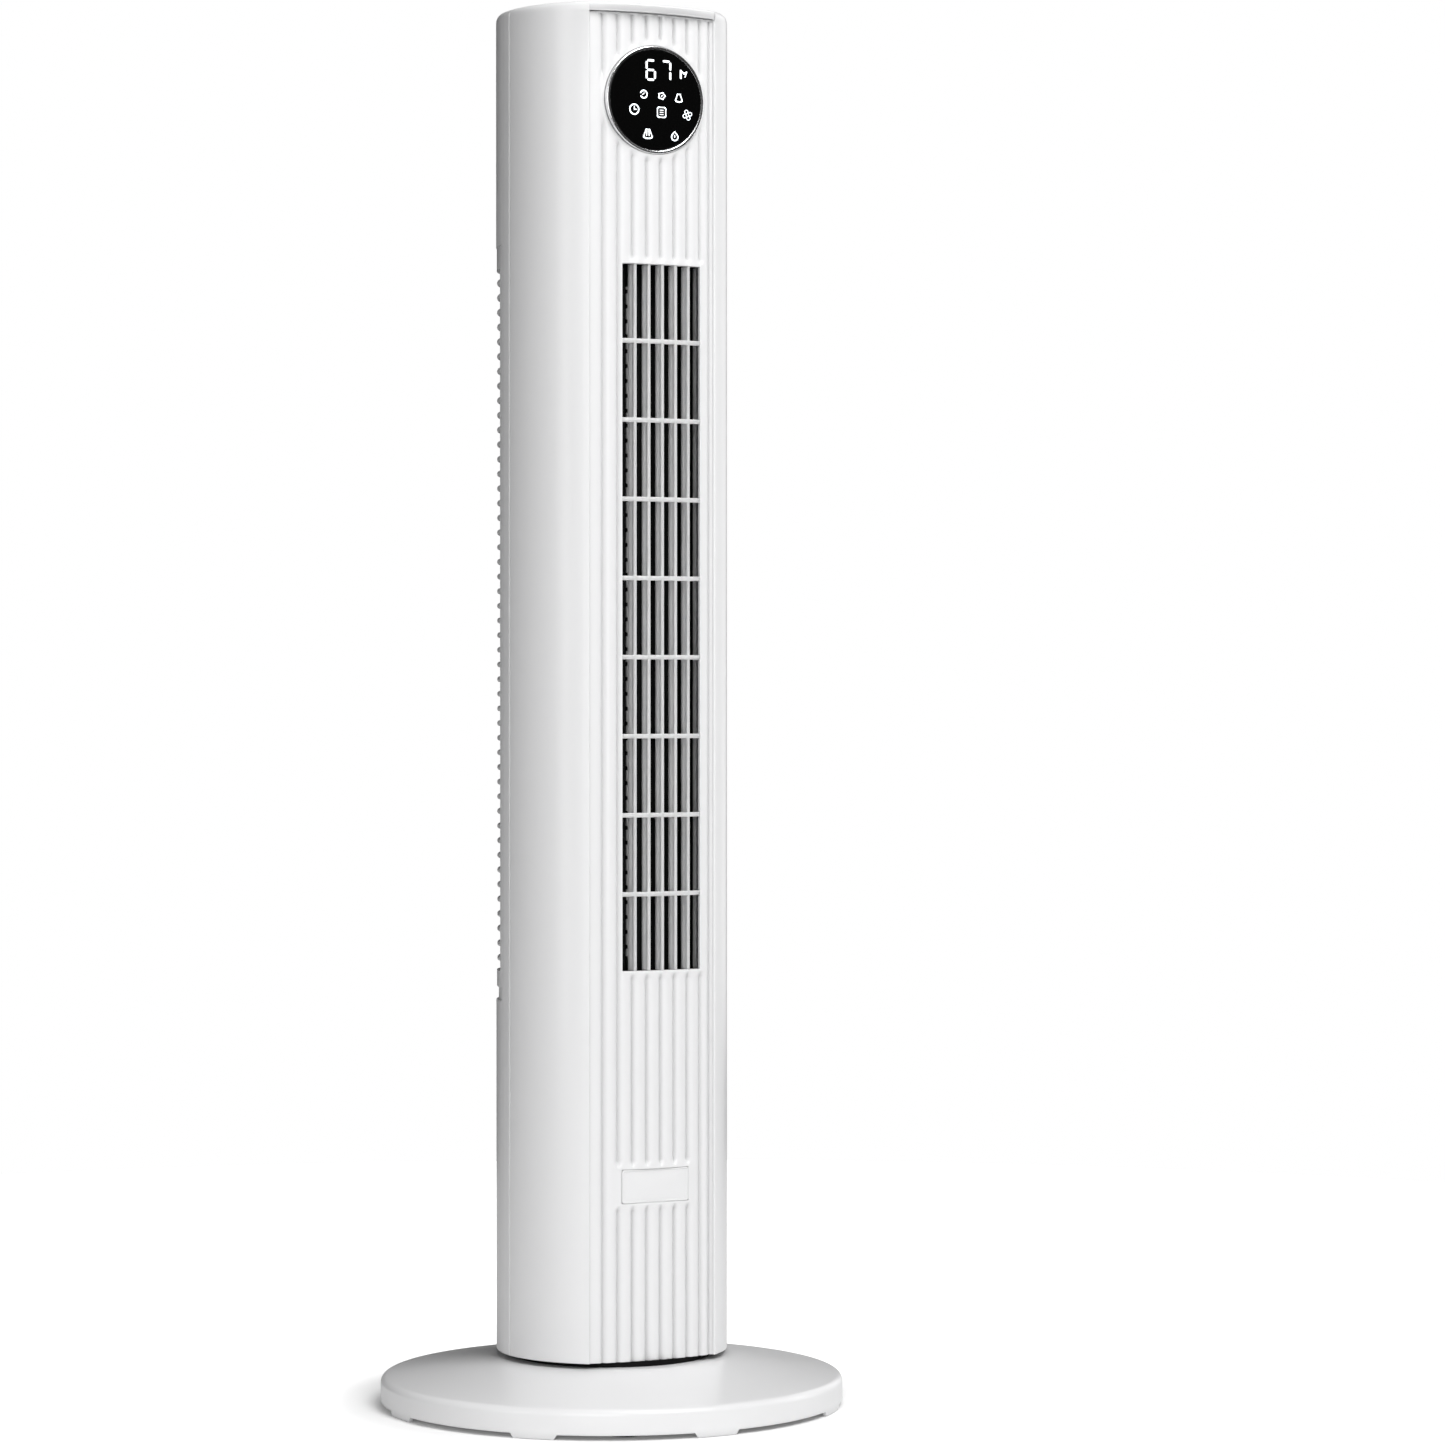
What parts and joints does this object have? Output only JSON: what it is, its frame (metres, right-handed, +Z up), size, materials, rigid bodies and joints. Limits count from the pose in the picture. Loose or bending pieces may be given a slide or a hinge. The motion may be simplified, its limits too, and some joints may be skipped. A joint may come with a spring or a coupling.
{
  "type": "tower fan",
  "caption": "Free-standing tower fan: a swinging round column with a reeded bowed front, slotted outlet, touch window and cross-flow blower on a round dished base.",
  "frame": {"origin": "centre of the round base, on the floor", "axes": "+Z up along the column and its swing axis, -Y towards the front panel, +X towards the outlet's wider side"},
  "size_m": [0.3048, 0.3048, 0.9144],
  "materials": {
    "white_plastic": "satin moulded ABS, fine texture",
    "grey_plastic": "plain moulded",
    "black_plastic": "plain moulded",
    "acetal": "smooth",
    "black_glass": "polished, backed in black",
    "chrome": "polished",
    "steel": "zinc plated",
    "motor_steel": "laminations and pressed can",
    "bronze": "sintered",
    "rubber": "matt",
    "circuit_board": "solder mask",
    "display": "lit from behind"
  },
  "bodies": {
    "base": {"base_cover": "white_plastic", "base_plate": "grey_plastic", "base_screws": "steel", "rubber_feet": "rubber", "pivot_post": "acetal", "post_screws": "steel", "thrust_ring": "black_plastic", "cord_gland": "rubber", "swing_gear": "acetal", "gear_screws": "steel"},
    "column": {"front_housing": "white_plastic", "rear_housing": "white_plastic", "handle_cup": "white_plastic", "housing_screws": "steel", "top_cover": "white_plastic", "column_floor": "grey_plastic", "front_panel": "white_plastic", "badge_plate": "white_plastic", "outlet_grille": "white_plastic", "bezel_ring": "chrome", "control_glass": "black_glass", "display_carrier": "black_plastic", "display_board": "circuit_board", "led_display": "display", "rear_grille": "white_plastic", "fan_motor": "motor_steel", "motor_grommets": "rubber", "motor_plate": "grey_plastic", "motor_screws": "steel", "bearing_bracket": "grey_plastic", "bush_rubber": "rubber", "upper_bush": "bronze", "duct_scroll": "black_plastic", "duct_tongue": "black_plastic", "tongue_comb": "grey_plastic", "board_bracket": "grey_plastic", "power_board": "circuit_board", "swing_motor": "motor_steel", "swing_motor_screws": "steel"},
    "impeller": {"blower_wheel": "black_plastic", "motor_shaft": "steel", "top_axle": "steel"},
    "pinion": {"swing_pinion": "acetal", "pinion_shaft": "steel"}
  },
  "joints": [
    {"name": "column_swing", "type": "hinge", "parent": "base", "child": "column", "pos_m": [0, 0, 0.0364], "axis": [0, 0, 1], "range_deg": [-35, 35]},
    {"name": "impeller_spin", "type": "hinge", "parent": "column", "child": "impeller", "pos_m": [0, 0, 0.5], "axis": [0, 0, 1], "continuous": true},
    {"name": "pinion_spin", "type": "hinge", "parent": "column", "child": "pinion", "pos_m": [0, 0.04, 0.055], "axis": [0, 0, 1], "range_deg": [-140, 140]}
  ],
  "couplings": [
    {"joint": "pinion_spin", "follows": "column_swing", "ratio": 4}
  ]
}
